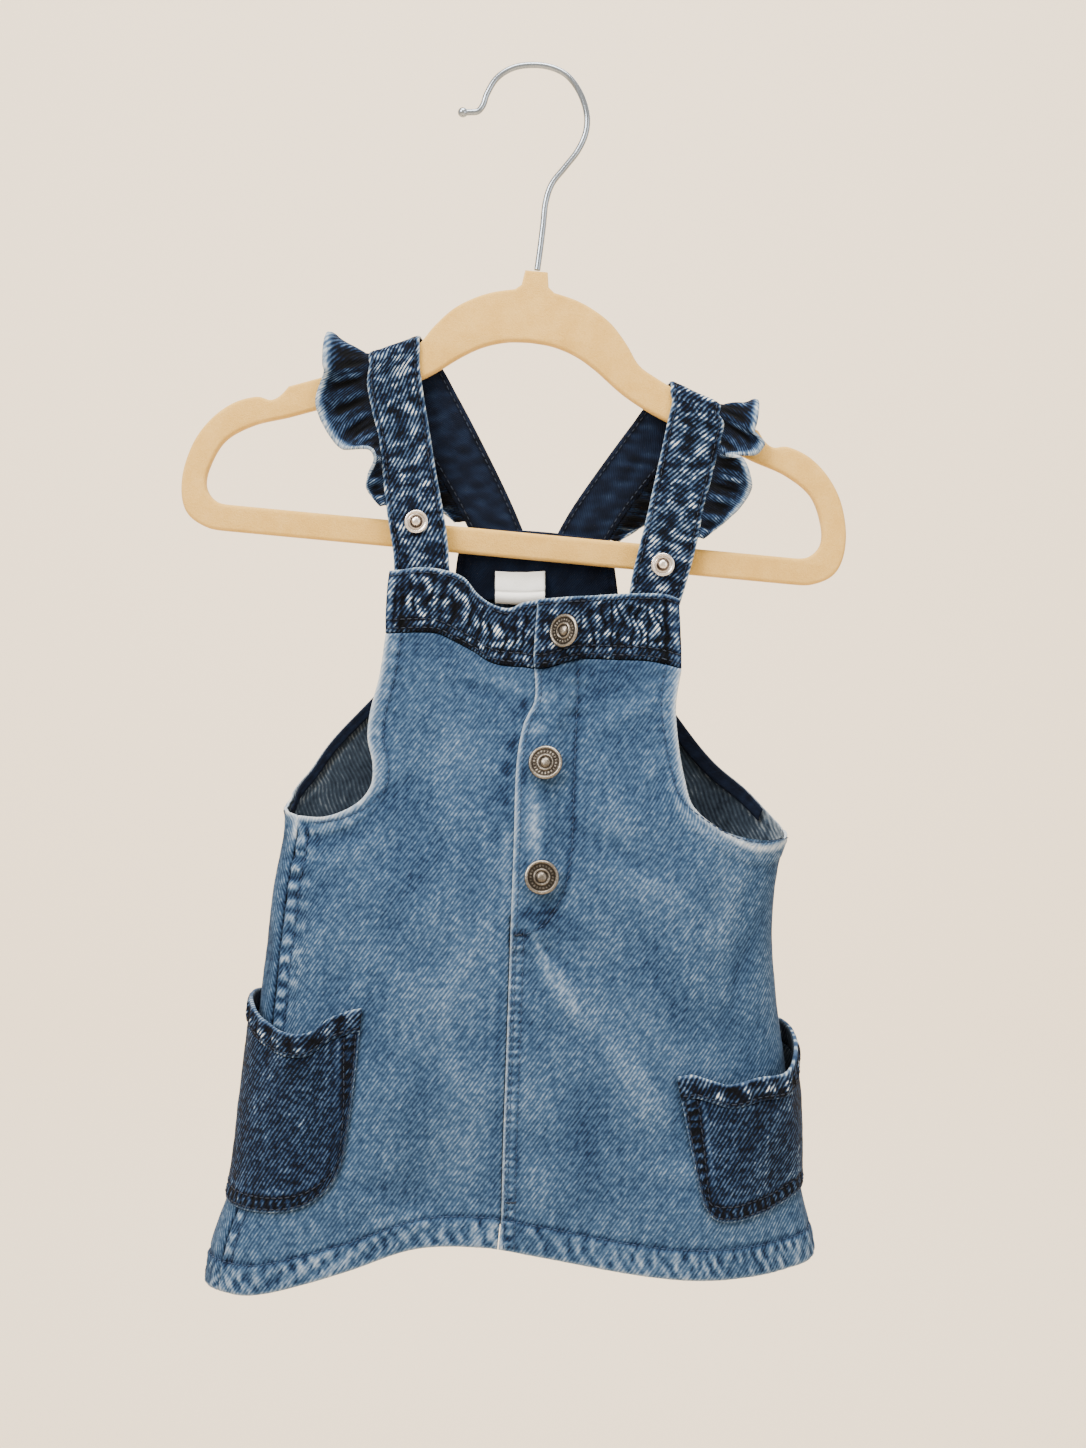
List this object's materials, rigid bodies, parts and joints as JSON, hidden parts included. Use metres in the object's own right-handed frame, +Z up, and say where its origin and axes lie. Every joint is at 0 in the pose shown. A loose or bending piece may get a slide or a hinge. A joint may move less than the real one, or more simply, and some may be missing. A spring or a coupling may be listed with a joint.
{
  "type": "denim pinafore dress on a flocked hanger",
  "caption": "Small child's denim pinafore with ruffled straps, gathered bib band, buttoned fly and patch pockets, hung on a flocked hanger with a wire hook.",
  "frame": {"origin": "top of the inside of the hook, where a rail or a peg carries the hanger", "axes": "+X to the viewer's right along the garment's width, +Y from the garment's front to its back, +Z up"},
  "size_m": [0.2789, 0.075, 0.51],
  "materials": {
    "denim_light": "mottled light blue denim twill, worn pale at seams and edges",
    "denim_dark": "acid-washed dark blue denim with pale twill",
    "twill_navy": "plain navy cotton twill",
    "label_tape": "white woven tape",
    "pewter": "aged pewter, rubbed bright on raised rings",
    "snap_metal": "warm silver plate",
    "flock": "beige flocking over plastic",
    "hook_wire": "bright plated wire"
  },
  "bodies": {
    "root": {"hanger_body": "flock", "hanger_hook": "hook_wire", "front_left": "denim_light", "front_right": "denim_light", "back_panel": "denim_light", "armhole_facing_left": "twill_navy", "armhole_facing_right": "twill_navy", "band_left": "denim_dark", "band_right": "denim_dark", "back_yoke": "denim_dark", "yoke_facing": "twill_navy", "strap_left": "denim_dark", "strap_right": "denim_dark", "ruffle_left": "denim_dark", "ruffle_right": "denim_dark", "pocket_left": "denim_dark", "pocket_right": "denim_dark", "pocket_band_left": "denim_dark", "pocket_band_right": "denim_dark", "button_top": "pewter", "button_middle": "pewter", "button_low": "pewter", "snap_left": "snap_metal", "snap_right": "snap_metal", "care_label": "label_tape"}
  },
  "joints": []
}
